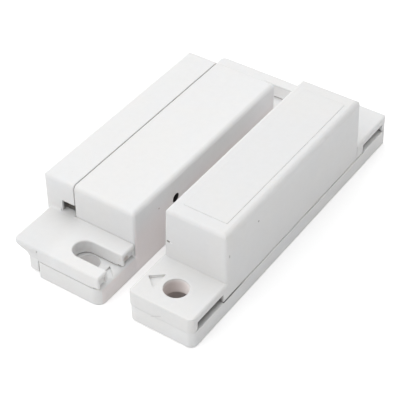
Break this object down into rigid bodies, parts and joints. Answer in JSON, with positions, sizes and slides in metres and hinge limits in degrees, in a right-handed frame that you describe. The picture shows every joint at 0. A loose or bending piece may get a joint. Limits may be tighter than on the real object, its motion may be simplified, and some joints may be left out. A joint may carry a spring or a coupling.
{
  "type": "magnetic door contact",
  "caption": "Surface-mounted magnetic door contact: a wired reed switch half with a slide-on terminal cover, beside a magnet half on a spacer.",
  "frame": {"origin": "middle of the footprint of the pair on the mounting surface", "axes": "+Y along both housings, +X from the switch half to the magnet half, +Z away from the mounting surface"},
  "size_m": [0.0372, 0.0652, 0.0165],
  "materials": {
    "white_plastic": "satin white ABS, slightly glossy",
    "cover_plastic": "satin white ABS, slightly glossy",
    "magnet_plastic": "satin white ABS, slightly glossy",
    "spacer_plastic": "satin white ABS",
    "potting": "dark cast resin",
    "reed_glass": "pale green glass",
    "reed_metal": "nickel-iron wire",
    "terminal_brass": "stamped brass",
    "plated_steel": "zinc plated",
    "solder": "bright solder",
    "magnet": "sintered, matt",
    "foam": "closed-cell foam"
  },
  "bodies": {
    "switch_half": {"switch_housing": "white_plastic", "potting_compound": "potting", "reed_glass": "reed_glass", "reed_blade_near": "reed_metal", "reed_blade_far": "reed_metal", "solder_joints": "solder", "terminal_plate_near": "terminal_brass", "terminal_plate_far": "terminal_brass", "wire_clamps": "plated_steel", "terminal_screws": "plated_steel"},
    "cover": {"terminal_cover": "cover_plastic"},
    "magnet_half": {"magnet_housing": "magnet_plastic", "magnet_back_plate": "spacer_plastic", "bar_magnet": "magnet", "magnet_cushion": "foam", "magnet_spacer": "spacer_plastic"}
  },
  "joints": [
    {"name": "cover_slide", "type": "slide", "parent": "switch_half", "child": "cover", "axis": [-1, 0, 0], "range_m": [0, 0.02]},
    {"name": "door_opening", "type": "slide", "parent": "switch_half", "child": "magnet_half", "axis": [1, 0, 0], "range_m": [0, 0.05]}
  ]
}
